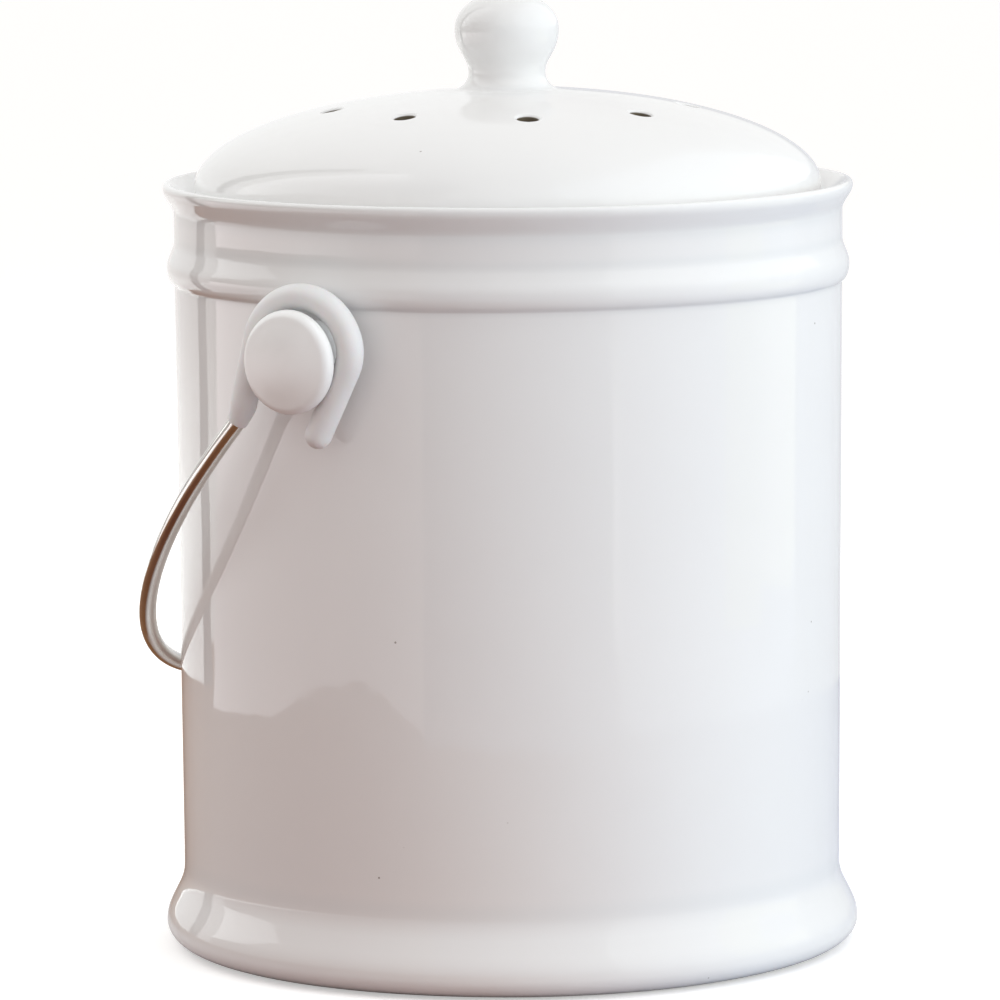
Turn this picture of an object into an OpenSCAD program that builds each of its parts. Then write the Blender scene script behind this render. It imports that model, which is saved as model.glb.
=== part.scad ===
// Ceramic compost caddy: a footed crock with a rolled lip and a bead below it, a domed
// drop-in lid with vent holes and a knob, a charcoal filter tray under the lid, and a
// wire bail whose hooked, sleeved ends hang on two button studs.
// Millimetres. The origin is the centre of the foot on the ground, +Z is up, +X runs
// through the studs, and the bail hangs on the +Y side.

/* [Crock] */
// Outer radius of the wall at half height
crock_r = 87.6; // [78:0.1:110]
// Height from the ground to the top of the lip
crock_h = 202.2; // [180:0.1:260]
// Thickness of the wall
wall_t = 7; // [6:0.25:9]
// Thickness of the floor
floor_t = 8; // [6:0.5:12]
// How much wider the wall is below the bead than above the foot
wall_taper = 0.9; // [0:0.1:1.5]
// How far the foot stands out from the wall
foot_out = 4.9; // [3:0.1:7]
// Height of the flared foot
foot_h = 22; // [16:0.5:30]

/* [Rim] */
// How far the lip stands out from the wall
lip_out = 2.8; // [1.6:0.1:3.2]
// Width of the flare from the lip's edge in to the mouth
flare_w = 6.4; // [5.8:0.1:7]
// Radius of the lip's rounded edge
lip_round = 1.3; // [1.2:0.1:2]
// Height of the hollow curve under the lip
lip_cove = 6.7; // [4:0.1:8]
// How far the bead stands out from the wall
bead_out = 1.9; // [0.8:0.1:2.4]
// Distance from the top of the lip down to the widest part of the bead
bead_drop = 22.2; // [19:0.1:30]

/* [Lid] */
// Height of the dome above the lip's widest line
dome_h = 25.4; // [18:0.1:32]
// Thickness of the dome at its crown
dome_t = 5.5; // [4.5:0.25:7]
// Gap all round between the lid and the mouth
lid_gap = 1.9; // [1.5:0.1:2.2]
// Depth of the locating skirt below the lid's edge
skirt_h = 12; // [10:0.5:16]
// Number of vent holes
vent_count = 9; // [6:1:12]
// Diameter of a vent hole
vent_d = 5.4; // [3:0.2:7]
// Radius of the ring of vent holes
vent_ring = 47.5; // [35:0.5:55]
// Turn of the vent ring away from the studs
vent_turn = 0; // [0:0.5:20]

/* [Knob] */
// Radius of the knob at its widest
knob_r = 13.8; // [12:0.2:16]
// Radius of the knob's neck
knob_neck_r = 10.2; // [8.5:0.1:11]
// Height of the rounded top above the widest line
knob_top_h = 10; // [7:0.5:13]

/* [Filter] */
// Thickness of the charcoal pad
pad_t = 9; // [6:0.5:10]
// Thickness of the tray's floor and wall
tray_t = 2; // [1.6:0.1:2.5]
// Number of spokes in the tray
spoke_count = 8; // [6:1:12]

/* [Bail] */
// Diameter of the wire
wire_d = 4.5; // [3.5:0.1:5]
// Outer diameter of the soft sleeve on the hook
sleeve_d = 7; // [6.2:0.1:7.4]
// Outer diameter of the sleeve where it ends on the leg
sleeve_end_d = 5.5; // [5.4:0.1:6]
// Distance from the stud's axis to where the arch begins
leg_h = 28.4; // [26:0.2:36]
// Depth of the arch below that
arch_h = 103.6; // [100:0.1:125]
// Height of the stud's axis below the top of the lip
stud_drop = 38.7; // [38:0.1:60]

/* [Stud] */
// Radius of the neck that the hook hangs on
neck_r = 9; // [7:0.1:9.4]
// Radius of the button cap
cap_r = 13.3; // [12.4:0.1:15]
// Thickness of the button cap
cap_t = 5.8; // [5.2:0.1:8]

/* [Hidden] */
$fn = 96;

// Crock, from the ground up
foot_r = crock_r - wall_taper / 2 + foot_out;
toe_r = foot_r - 8.4;
toe_h = 5.8;
base_recess = 2.5;
foot_ring_w = 7;
low_r = crock_r - wall_taper / 2;
high_r = crock_r + wall_taper / 2;
inner_r = low_r - wall_t + 0.35;
corner_r = 9;
lip_z = crock_h - lip_round;
lip_r = high_r + lip_out;
mouth_r = lip_r - flare_w;
ledge_z = lip_z - 3.6;
bead_z = crock_h - bead_drop;
bead_low = 4.3;
bead_high = 7;

// Studs and bail
stud_z = crock_h - stud_drop;
stud_root = high_r - 2.6;
wire_r = wire_d / 2;
sleeve_r = sleeve_d / 2;
leg_x = max(lip_r + 1.6 + wire_r, high_r + bead_out + 1.3 + sleeve_r);
cap_x = leg_x + sleeve_r + 0.4;
cap_back_round = 0.7;
cap_round = 2.6;
cap_dome = 1.8;
cap_drop = 0.6;
hook_r = 14.7;
hook_lift = 1;
hook_start = -27.2;
hook_turn = 120;
hook_end = 166;
hook_tight_r = 10;
tail_len = 19.1;
arch_set = 3.5;
sway_r = (arch_set * cos(hook_start) + (leg_h + hook_lift) * sin(-hook_start) - hook_r) / (1 - cos(hook_start));
bar_sides = 16;
arch_steps = 40;
sleeved_sway = 4;
wall_gap = 0.3;
wall_at_arch = low_r + 0.3 * wall_taper;
arch_low = [leg_h + arch_h, arch_set];
rest_angle = asin((wall_at_arch + wire_r + wall_gap) / norm(arch_low)) - atan2(arch_low[1], arch_low[0]);

// Lid and knob
lid_r = mouth_r - lid_gap;
skirt_r = inner_r - 1.2;
skirt_t = 4.3;
dome_in_r = skirt_r - skirt_t;
dome_in_z = ledge_z + 1.8;
dome_in_h = lip_z + dome_h - dome_t - dome_in_z;
neck_fillet = 4.3;
knob_foot_r = knob_neck_r + neck_fillet;
waist_bend = 34.8;
waist_r = 7;
waist_swell = (knob_r - knob_neck_r) / (1 - cos(waist_bend)) - waist_r;
neck_z = dome_z(knob_foot_r) + neck_fillet;
knob_z = neck_z + (waist_r + waist_swell) * sin(waist_bend);

// Filter tray
skirt_z = ledge_z - skirt_h;
tray_gap = 0.3;
tray_wall_r = dome_in_r - 0.7;
tray_flange_r = skirt_r - 1;
tray_flange_t = 2.2;
tray_z = skirt_z - tray_gap - tray_flange_t;
tray_h = pad_t + tray_t + 0.5;
pad_r = tray_wall_r - tray_t - 0.2;
rib_count = 6;
rib_r = 1;
rib_out = 0.4;
grille_step = 14;
grille_w = 2.4;
hub_r = 9;

// Height of the dome's outer surface at radius r
function dome_z(r) = lip_z + dome_h * sqrt(1 - pow(r / lid_r, 2));

// Points of an elliptical arc about c with radii a and b
function arc(c, a, b, from, to, n = 10) =
    [for (i = [0:n]) let (t = from + (to - from) * i / n) [c[0] + a * cos(t), c[1] + b * sin(t)]];

// Points of a smooth S between p and q, upright at both ends; k above 1 hollows it towards q
function ogee(p, q, n = 10, k = 1) = [
    for (i = [0:n])
        let (rest = pow((1 + cos(180 * i / n)) / 2, k))
        [q[0] + (p[0] - q[0]) * rest, p[1] + (q[1] - p[1]) * i / n]
];

// Outline of the crock's half section
function crock_outline() = concat(
    [[0, base_recess], [toe_r - foot_ring_w, base_recess], [toe_r - foot_ring_w + 1, 0]],
    arc([toe_r, toe_h], foot_r - toe_r, toe_h, -90, 0),
    ogee([foot_r, toe_h + 0.4], [low_r, foot_h], 12, 1.35),
    arc([high_r, bead_z], bead_out, bead_low, -90, 0, 8),
    ogee([high_r + bead_out, bead_z + 0.2], [high_r, bead_z + bead_high]),
    ogee([high_r, lip_z - lip_cove], [lip_r, lip_z - 0.2]),
    arc([lip_r - lip_round, lip_z], lip_round, lip_round, 0, 130, 10),
    [[mouth_r, ledge_z + 0.6], [mouth_r, ledge_z], [inner_r + 0.8, ledge_z], [inner_r, ledge_z - 0.8]],
    arc([inner_r - corner_r, floor_t + corner_r], corner_r, corner_r, 0, -90, 8),
    [[0, floor_t]]
);

module crock() {
    color("white")
    difference() {
        rotate_extrude() polygon(crock_outline());
        for (side = [-1, 1])
            translate([0, 0, stud_z])
            rotate([0, side * 90, 0])
            translate([0, 0, stud_root])
            cylinder(r = neck_r, h = 20);
    }
}

// Button stud: the neck is set into the wall, and the cap, luted on a little low, keeps the
// hook on it
module stud(side) {
    back = cap_x - stud_root;
    front = back + cap_t;
    color("whitesmoke")
    translate([side * stud_root, 0, stud_z])
    rotate([0, side * 90, 0])
    union() {
        cylinder(r = neck_r, h = back + 1);
        translate([side * cap_drop, 0, 0])
        rotate_extrude()
        polygon(stud_cap_outline(back, front));
    }
}

// Outline of the cap's half section, from its back to its crowned face
function stud_cap_outline(back, front) = concat(
    [[0, back]],
    arc([cap_r - cap_back_round, back + cap_back_round], cap_back_round, cap_back_round, -90, 0, 4),
    arc([cap_r - cap_round, front - cap_dome - cap_round], cap_round, cap_round, 0, 76, 8),
    [for (i = [1:6]) let (t = 1 - i / 6) [t * (cap_r - cap_round), front - cap_dome * t * t]]
);

module lid() {
    color("white")
    difference() {
        rotate_extrude() polygon(concat(
            arc([0, lip_z], lid_r, dome_h, 90, 0, 32),
            arc([lid_r - 1, ledge_z + 1], 1, 1, 0, -90, 4),
            [[skirt_r, ledge_z]],
            arc([skirt_r - 1, skirt_z + 1], 1, 1, 0, -90, 4),
            arc([dome_in_r + 1, skirt_z + 1], 1, 1, -90, -180, 4),
            arc([0, dome_in_z], dome_in_r, dome_in_h, 0, 90, 24)
        ));
        for (i = [0:vent_count - 1])
            rotate([0, 0, 180 + vent_turn + i * 360 / vent_count])
            translate([vent_ring, 0, ledge_z + 1])
            cylinder(d = vent_d, h = dome_h + 10, $fn = 32);
    }
}

// Solid knob, luted to the crown of the dome
module lid_knob() {
    color("white")
    rotate_extrude() polygon(concat(
        [for (i = [0:6]) let (r = knob_foot_r * i / 6) [r, dome_z(r)]],
        arc([knob_foot_r, neck_z], neck_fillet, neck_fillet, -96, -180, 8),
        arc([knob_neck_r + waist_r, neck_z], waist_r, waist_r, 176, 180 - waist_bend, 6),
        arc([knob_r - waist_swell, knob_z], waist_swell, waist_swell, -waist_bend + 4, 0, 6),
        arc([0, knob_z], knob_r, knob_top_h, 4, 90, 14)
    ));
}

// Open tray that pushes up inside the skirt and carries the charcoal pad
module filter_tray() {
    tray_in_r = tray_wall_r - tray_t;
    color("lightgray")
    translate([0, 0, tray_z])
    union() {
        rotate_extrude() polygon([
            [tray_in_r, 0], [tray_flange_r, 0], [tray_flange_r, tray_flange_t],
            [tray_wall_r, tray_flange_t], [tray_wall_r, tray_h], [tray_in_r, tray_h]
        ]);
        linear_extrude(tray_t) tray_grille();
        for (i = [0:rib_count - 1])
            rotate([0, 0, (i + 0.5) * 360 / rib_count])
            translate([tray_wall_r - rib_r + rib_out, 0, tray_flange_t / 2])
            cylinder(r = rib_r, h = tray_h - tray_flange_t - 0.5, $fn = 24);
    }
}

// Hub, rings and spokes of the tray's open floor
module tray_grille() {
    circle(hub_r);
    for (r = [hub_r + grille_step : grille_step : tray_wall_r - grille_step / 2])
        difference() {
            circle(r + grille_w / 2);
            circle(r - grille_w / 2);
        }
    for (i = [0:spoke_count - 1])
        rotate(i * 360 / spoke_count)
        translate([hub_r - 2, -grille_w / 2])
        square([tray_wall_r - tray_t / 2 - hub_r + 2, grille_w]);
}

module filter_pad() {
    color("#2b2b2d")
    translate([0, 0, tray_z + tray_t])
    cylinder(r = pad_r, h = pad_t);
}

// Tangent of path p at point i
function tangent(p, i) = let (d = p[min(i + 1, len(p) - 1)] - p[max(i - 1, 0)]) d / norm(d);

// Part of v that is square to the unit vector t, at unit length
function square_to(v, t) = let (d = v - (v * t) * t) d / norm(d);

// One sideways vector for each point of p, carried along without twist
function sideways(p, v = [0, 0, 1], i = 0) =
    i == len(p) ? [] : let (n = square_to(v, tangent(p, i))) concat([n], sideways(p, n, i + 1));

// Round bar swept along path p, with radius r[i] at point i
module swept(p, r) {
    side_v = sideways(p);
    last = len(p) - 1;
    points = [
        for (i = [0:last], j = [0:bar_sides - 1])
            let (n = side_v[i], a = 360 * j / bar_sides)
            p[i] + r[i] * (cos(a) * n + sin(a) * cross(tangent(p, i), n))
    ];
    walls = [
        for (i = [0:last - 1], j = [0:bar_sides - 1])
            let (k = (j + 1) % bar_sides, at = i * bar_sides)
            [at + j, at + bar_sides + j, at + bar_sides + k, at + k]
    ];
    ends = [[for (j = [0:bar_sides - 1]) j], [for (j = [bar_sides - 1:-1:0]) last * bar_sides + j]];
    polyhedron(points, concat(walls, ends));
}

// Hook of one side in the bail's own frame: X is the side's loop plane, Y faces up and to the
// rear, and the path runs from the tail over the stud and down the leg to the arch. The hook's
// centre rides hook_lift above the stud's axis
function in_loop(side, flat) = [for (p = flat) [side * leg_x, p[0], p[1]]];
function polar(r, a) = [r * cos(a), r * sin(a)];
hook_c = [0, hook_lift];
tight_c = hook_c + polar(hook_r - hook_tight_r, hook_turn);
tail_start = tight_c + polar(hook_tight_r, hook_end);
tail_v = polar(1, hook_end + 90);
hook_flat = concat(
    arc(tight_c, hook_tight_r, hook_tight_r, hook_end, hook_turn, 5),
    arc(hook_c, hook_r, hook_r, hook_turn - 9, hook_start, 15)
);
sway_flat = arc([arch_set + sway_r, -leg_h], sway_r, sway_r, 180 + hook_start, 180, 5);
wire_flat = concat([tail_start + (tail_len - 1) * tail_v], hook_flat, sway_flat);
arch = [for (i = [1:arch_steps - 1])
    let (a = 180 * i / arch_steps) [leg_x * cos(a), arch_set, -leg_h - arch_h * sin(a)]];
function backwards(p) = [for (i = [len(p) - 1:-1:0]) p[i]];

module bail_wire_bar() {
    path = concat(in_loop(1, wire_flat), arch, backwards(in_loop(-1, wire_flat)));
    swept(path, [for (p = path) wire_r]);
}

// Places its children in the bail's own plane, hanging down from the studs' axis
module at_bail() {
    translate([0, 0, stud_z])
    rotate([rest_angle, 0, 0])
    children();
}

module bail_wire() {
    color("silver")
    at_bail()
    bail_wire_bar();
}

// Soft white sleeve over the hook, with a rounded tail and a taper towards the wire
module sleeve(side) {
    tip = [for (i = [0:4]) 18 + 18 * i];
    flat = concat(
        [for (a = tip) tail_start + (tail_len + sleeve_r * cos(a)) * tail_v],
        hook_flat,
        [for (i = [0:sleeved_sway]) sway_flat[i]]
    );
    radii = concat(
        [for (a = tip) sleeve_r * sin(a)],
        [for (p = hook_flat) sleeve_r],
        [for (i = [0:sleeved_sway]) sleeve_end_d / 2 + 0.25 * (1 - i / sleeved_sway)]
    );
    color("white")
    at_bail()
    difference() {
        swept(in_loop(side, flat), radii);
        bail_wire_bar();
    }
}

crock();
stud(-1);  // stud_left
stud(1);  // stud_right
lid();
lid_knob();
filter_tray();
filter_pad();
bail_wire();
sleeve(-1);  // sleeve_left
sleeve(1);  // sleeve_right
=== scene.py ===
import math

import bmesh
import bpy
import numpy as np
from mathutils import Matrix, Vector


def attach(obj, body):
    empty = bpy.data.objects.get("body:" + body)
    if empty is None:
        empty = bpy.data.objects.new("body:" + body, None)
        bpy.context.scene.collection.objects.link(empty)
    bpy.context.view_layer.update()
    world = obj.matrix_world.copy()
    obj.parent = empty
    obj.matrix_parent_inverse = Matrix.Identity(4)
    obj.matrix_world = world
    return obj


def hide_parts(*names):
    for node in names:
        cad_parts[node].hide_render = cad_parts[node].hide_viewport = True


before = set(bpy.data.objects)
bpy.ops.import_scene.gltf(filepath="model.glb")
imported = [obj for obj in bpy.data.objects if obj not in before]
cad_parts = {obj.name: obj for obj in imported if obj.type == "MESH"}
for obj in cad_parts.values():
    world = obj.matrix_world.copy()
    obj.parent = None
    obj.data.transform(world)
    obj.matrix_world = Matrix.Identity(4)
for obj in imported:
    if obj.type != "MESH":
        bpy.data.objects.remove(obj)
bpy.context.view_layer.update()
mm = 0.001      # sizes are written in millimetres, and turned to metres as each mesh is made
print("frame loaded:", len(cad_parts), "nodes")


# an outline is a list of (radius, height)
def arcPoints(centre, a, b, start, end, count=24):
    turns = [math.radians(start + (end - start) * i / count) for i in range(count + 1)]
    return [(centre[0] + a * math.cos(t), centre[1] + b * math.sin(t)) for t in turns]


def circleArc(centre, radius, start, end, count=24):
    return arcPoints(centre, radius, radius, start, end, count)


def sCurve(p, q, count=30, hollow=1.0):
    points = []
    for i in range(count + 1):
        rest = ((1 + math.cos(math.pi * i / count)) / 2) ** hollow
        points.append((q[0] + (p[0] - q[0]) * rest, p[1] + (q[1] - p[1]) * i / count))
    return points


def soften(points, reach, step=0.08):
    # walks the outline in even steps and averages over a short reach, as glaze does at a corner
    p = np.array(points, float)
    p = p[np.concatenate([[True], np.linalg.norm(np.diff(p, axis=0), axis=1) > 1e-7])]
    s = np.concatenate([[0], np.cumsum(np.linalg.norm(np.diff(p, axis=0), axis=1))])
    even = np.arange(0, s[-1] + step / 2, s[-1] / max(2, round(s[-1] / step)))
    p = np.stack([np.interp(even, s, p[:, k]) for k in (0, 1)], axis=1)
    half = max(1, int(round(3 * reach / step)))
    weights = np.exp(-0.5 * (np.arange(-half, half + 1) * step / reach) ** 2)
    weights /= weights.sum()
    # the outline is carried on past each end, turned about the end point
    head = 2 * p[0] - p[1:half + 1][::-1]
    tail = 2 * p[-1] - p[-half - 1:-1][::-1]
    longer = np.concatenate([head, p, tail])
    return np.stack([np.convolve(longer[:, k], weights, mode="valid") for k in (0, 1)], axis=1)


def thin(points, maxTurn=4.0, maxStep=4.5, minStep=0.12):
    # keeps a point wherever the outline has turned or gone on far enough
    p = np.array(points, float)
    d = np.diff(p, axis=0)
    heading = np.unwrap(np.arctan2(d[:, 1], d[:, 0]))
    kept, last, length = [0], heading[0], 0.0
    for i in range(1, len(p) - 1):
        length += np.linalg.norm(d[i - 1])
        turned = abs(heading[i] - last)
        if length >= minStep and (turned > math.radians(maxTurn) or length > maxStep):
            kept.append(i)
            last, length = heading[i], 0.0
    kept.append(len(p) - 1)
    # long steps grow and shrink gradually, so the shading stays even
    s = np.concatenate([[0], np.cumsum(np.linalg.norm(d, axis=1))])
    stations = [s[kept[0]]]
    gaps = np.diff(s[kept])
    for i, g in enumerate(gaps):
        beside = min(gaps[i - 1] if i else g, gaps[i + 1] if i + 1 < len(gaps) else g)
        parts = max(1, min(6, int(g / max(2.2 * beside, 0.4))))
        for k in range(1, parts + 1):
            stations.append(s[kept[i]] + g * k / parts)
    return np.stack([np.interp(stations, s, p[:, k]) for k in (0, 1)], axis=1)


def node(tree, kind, inputs=None, **settings):
    made = tree.nodes.new(kind)
    for key, value in settings.items():
        setattr(made, key, value)
    for key, value in (inputs or {}).items():
        target = made.inputs[key]
        if isinstance(value, bpy.types.NodeSocket):
            tree.links.new(value, target)
        else:
            target.default_value = value
    return made


def maths(tree, operation, a, b=None):
    values = {0: a} if b is None else {0: a, 1: b}
    return node(tree, "ShaderNodeMath", values, operation=operation).outputs[0]


def groupTree(name, kind, inputs, outputs):
    tree = bpy.data.node_groups.new(name, kind)
    for key, socket, *default in inputs:
        made = tree.interface.new_socket(name=key, in_out="INPUT", socket_type="NodeSocket" + socket)
        if default:
            made.default_value = default[0]
    for key, socket in outputs:
        tree.interface.new_socket(name=key, in_out="OUTPUT", socket_type="NodeSocket" + socket)
    return tree, node(tree, "NodeGroupInput").outputs, node(tree, "NodeGroupOutput").inputs


def linked(name, data):
    made = bpy.data.objects.new(name, data)
    bpy.context.scene.collection.objects.link(made)
    return made


def meshFrom(points, faces, name):
    mesh = bpy.data.meshes.new(name)
    mesh.from_pydata([tuple(p) for p in points], [], faces)
    mesh.validate()
    return mesh


def addValues(mesh, key, values):
    mesh.attributes.new(key, "FLOAT", "POINT").data.foreach_set("value", np.array(values, np.float32))


def polyline(points, name):
    mesh = bpy.data.meshes.new(name)
    mesh.from_pydata([tuple(p) for p in points], [(i, i + 1) for i in range(len(points) - 1)], [])
    return mesh


def outlineMesh(points, name):
    return polyline([(r * mm, 0.0, z * mm) for r, z in points], name)


def grow(mesh, tree, values, name):
    # runs one geometry tree over a mesh and keeps the result as a plain mesh object
    source = linked(name + "Source", mesh)
    modifier = source.modifiers.new("grow", "NODES")
    modifier.node_group = tree
    names = {item.name: item.identifier for item in tree.interface.items_tree
             if item.item_type == "SOCKET" and item.in_out == "INPUT"}
    for key, value in values.items():
        modifier[names[key]] = value
    bpy.context.view_layer.update()
    evaluated = source.evaluated_get(bpy.context.evaluated_depsgraph_get())
    result = bpy.data.meshes.new_from_object(evaluated)
    result.name = name
    source.modifiers.remove(modifier)
    bpy.data.objects.remove(source)
    print("made", name, len(result.polygons), "faces")
    return linked(name, result)


def outwards(made):
    # the sum over the faces is the enclosed volume, which is below zero when they point inwards
    mesh = made.data
    mesh.calc_loop_triangles()
    co = np.zeros(len(mesh.vertices) * 3, np.float32)
    mesh.vertices.foreach_get("co", co)
    tri = np.zeros(len(mesh.loop_triangles) * 3, np.int32)
    mesh.loop_triangles.foreach_get("vertices", tri)
    a, b, c = (co.reshape(-1, 3)[tri.reshape(-1, 3)[:, k]] for k in range(3))
    if np.einsum("ij,ij->i", a, np.cross(b, c)).sum() < 0:
        mesh.flip_normals()
    return made


def finishForm(tree, geometry, into, out):
    # the form is never perfectly true: it dips below the drawn surface in long slow waves
    if "Waviness" in into:
        here = node(tree, "GeometryNodeInputPosition").outputs[0]
        noise = noiseAt(tree, here, maths(tree, "DIVIDE", 1.0, into["Wave Size"]), 1.0, 0.4)
        dip = maths(tree, "MULTIPLY", maths(tree, "SUBTRACT", noise, 0.85), into["Waviness"])
        normal = node(tree, "GeometryNodeInputNormal").outputs[0]
        shift = node(tree, "ShaderNodeVectorMath", {0: normal, "Scale": maths(tree, "MINIMUM", dip, 0.0)},
                     operation="SCALE").outputs[0]
        geometry = node(tree, "GeometryNodeSetPosition", {"Geometry": geometry, "Offset": shift}).outputs[0]
    smooth = node(tree, "GeometryNodeSetShadeSmooth", {0: geometry}).outputs[0]
    real = node(tree, "GeometryNodeRealizeInstances", {0: smooth}).outputs[0]
    done = node(tree, "GeometryNodeSetMaterial", {"Geometry": real, "Material": into["Finish"]}).outputs[0]
    tree.links.new(done, out["Form"])
    return tree


def noiseAt(tree, where, scale, detail=2.0, rough=0.5):
    return node(tree, "ShaderNodeTexNoise",
                {"Vector": where, "Scale": scale, "Detail": detail, "Roughness": rough}).outputs["Fac"]


waveSockets = [("Waviness", "Float", 0.0), ("Wave Size", "Float", 0.03), ("Finish", "Material")]
formOut = [("Form", "Geometry")]


def turnedTree():
    # turns an outline in the XZ plane round the Z axis
    tree, into, out = groupTree("turnedForm", "GeometryNodeTree", [
        ("Outline", "Geometry"), ("Steps Round", "Int", 128)] + waveSockets, formOut)
    count = node(tree, "GeometryNodeAttributeDomainSize", {"Geometry": into["Outline"]}).outputs["Point Count"]
    columns = maths(tree, "ADD", into["Steps Round"], 1)
    grid = node(tree, "GeometryNodeMeshGrid",
                {"Size X": 1.0, "Size Y": 1.0, "Vertices X": columns, "Vertices Y": count}).outputs["Mesh"]
    position = node(tree, "GeometryNodeInputPosition").outputs[0]
    here = node(tree, "ShaderNodeSeparateXYZ", {0: position}).outputs
    turn = maths(tree, "MULTIPLY", maths(tree, "ADD", here[0], 0.5), 2 * math.pi)
    rows = maths(tree, "SUBTRACT", count, 1)
    row = maths(tree, "ROUND", maths(tree, "MULTIPLY", maths(tree, "ADD", here[1], 0.5), rows))
    spot = node(tree, "GeometryNodeSampleIndex", {
        "Geometry": into["Outline"], "Value": position, "Index": row}, data_type="FLOAT_VECTOR").outputs[0]
    reach, _, height = node(tree, "ShaderNodeSeparateXYZ", {0: spot}).outputs
    place = node(tree, "ShaderNodeCombineXYZ", {
        0: maths(tree, "MULTIPLY", reach, maths(tree, "COSINE", turn)),
        1: maths(tree, "MULTIPLY", reach, maths(tree, "SINE", turn)), 2: height}).outputs[0]
    turned = node(tree, "GeometryNodeSetPosition", {"Geometry": grid, "Position": place}).outputs[0]
    closed = node(tree, "GeometryNodeMergeByDistance", {"Geometry": turned, "Distance": 2e-6}).outputs[0]
    return finishForm(tree, closed, into, out)


def roundRepeatTree():
    # repeats one wedge round the Z axis and welds it to its neighbours
    tree, into, out = groupTree("wedgeRound", "GeometryNodeTree", [
        ("Wedge", "Geometry"), ("Wedges", "Int", 9), ("First Turn", "Float", 0.0)] + waveSockets, formOut)
    spots = node(tree, "GeometryNodeMeshLine", {"Count": into["Wedges"], "Offset": (0.0, 0.0, 0.0)}).outputs[0]
    number = node(tree, "GeometryNodeInputIndex").outputs[0]
    each = maths(tree, "DIVIDE", 2 * math.pi, into["Wedges"])
    turn = maths(tree, "ADD", maths(tree, "MULTIPLY", number, each), into["First Turn"])
    spin = node(tree, "ShaderNodeCombineXYZ", {2: turn}).outputs[0]
    copies = node(tree, "GeometryNodeInstanceOnPoints",
                  {"Points": spots, "Instance": into["Wedge"], "Rotation": spin}).outputs[0]
    solid = node(tree, "GeometryNodeRealizeInstances", {0: copies}).outputs[0]
    welded = node(tree, "GeometryNodeMergeByDistance", {"Geometry": solid, "Distance": 4e-6}).outputs[0]
    return finishForm(tree, welded, into, out)


def barTree():
    # sweeps a round section along a bent centreline; the point attribute "thick" is its radius
    tree, into, out = groupTree("bentBar", "GeometryNodeTree", [
        ("Centreline", "Geometry"), ("Sides", "Int", 32), ("Finish", "Material")], formOut)
    line = node(tree, "GeometryNodeMeshToCurve", {0: into["Centreline"]}).outputs[0]
    section = node(tree, "GeometryNodeCurvePrimitiveCircle",
                   {"Resolution": into["Sides"], "Radius": 1.0}).outputs[0]
    thick = node(tree, "GeometryNodeInputNamedAttribute", {"Name": "thick"}, data_type="FLOAT").outputs[0]
    place = node(tree, "GeometryNodeSplineParameter").outputs

    def marked(curve, key, value):
        return node(tree, "GeometryNodeStoreNamedAttribute", {"Geometry": curve, "Name": key, "Value": value},
                    data_type="FLOAT", domain="POINT").outputs[0]

    line, section = marked(line, "along", place["Length"]), marked(section, "around", place["Factor"])
    sweep = node(tree, "GeometryNodeCurveToMesh",
                 {"Curve": line, "Profile Curve": section, "Scale": thick, "Fill Caps": True}).outputs[0]
    return finishForm(tree, sweep, into, out)


turnedForm, wedgeRound, bentBar = turnedTree(), roundRepeatTree(), barTree()
print("geometry trees built")


def turnedPiece(line, name, steps, finish, waviness=0, waveSize=30):
    return outwards(grow(outlineMesh(line, name + "Line"), turnedForm, {
        "Steps Round": steps, "Waviness": waviness * mm, "Wave Size": waveSize * mm, "Finish": finish}, name))


# shared effects for the materials
def ramp(tree, value, low, high, outLow=0.0, outHigh=1.0):
    return node(tree, "ShaderNodeMapRange", {
        "Value": value, "From Min": low, "From Max": high, "To Min": outLow, "To Max": outHigh,
    }, interpolation_type="SMOOTHSTEP").outputs[0]


def mixColour(tree, factor, a, b):
    return node(tree, "ShaderNodeMix", {0: factor, 6: a, 7: b}, data_type="RGBA").outputs[2]


def cloudGroup():
    # slow drift of a tint over a surface
    tree, into, out = groupTree("tintDrift", "ShaderNodeTree", [
        ("Where", "Vector"), ("Colour", "Color", (0.8, 0.8, 0.8, 1)),
        ("Drift Colour", "Color", (0.75, 0.75, 0.75, 1)),
        ("Size", "Float", 30.0), ("Amount", "Float", 0.5)], [("Colour", "Color")])
    scale = maths(tree, "DIVIDE", 1000.0, into["Size"])
    cloud = ramp(tree, noiseAt(tree, into["Where"], scale, 3.0, 0.55), 0.35, 0.68)
    mask = maths(tree, "MULTIPLY", cloud, into["Amount"])
    tree.links.new(mixColour(tree, mask, into["Colour"], into["Drift Colour"]), out["Colour"])
    return tree


def grainGroup():
    # fine grain as a height and as a change of roughness
    tree, into, out = groupTree("fineGrain", "ShaderNodeTree", [
        ("Where", "Vector"), ("Size", "Float", 1.0), ("Roughness", "Float", 0.4), ("Spread", "Float", 0.1)],
        [("Roughness", "Float"), ("Height", "Float")])
    scale = maths(tree, "DIVIDE", 1000.0, into["Size"])
    fine = noiseAt(tree, into["Where"], scale, 4.0, 0.62)
    coarse = noiseAt(tree, into["Where"], maths(tree, "MULTIPLY", scale, 0.14), 3.0, 0.5)
    both = maths(tree, "ADD", maths(tree, "MULTIPLY", fine, 0.7), maths(tree, "MULTIPLY", coarse, 0.3))
    change = maths(tree, "MULTIPLY", maths(tree, "SUBTRACT", both, 0.5), into["Spread"])
    tree.links.new(maths(tree, "ADD", change, into["Roughness"]), out["Roughness"])
    tree.links.new(both, out["Height"])
    return tree


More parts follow.
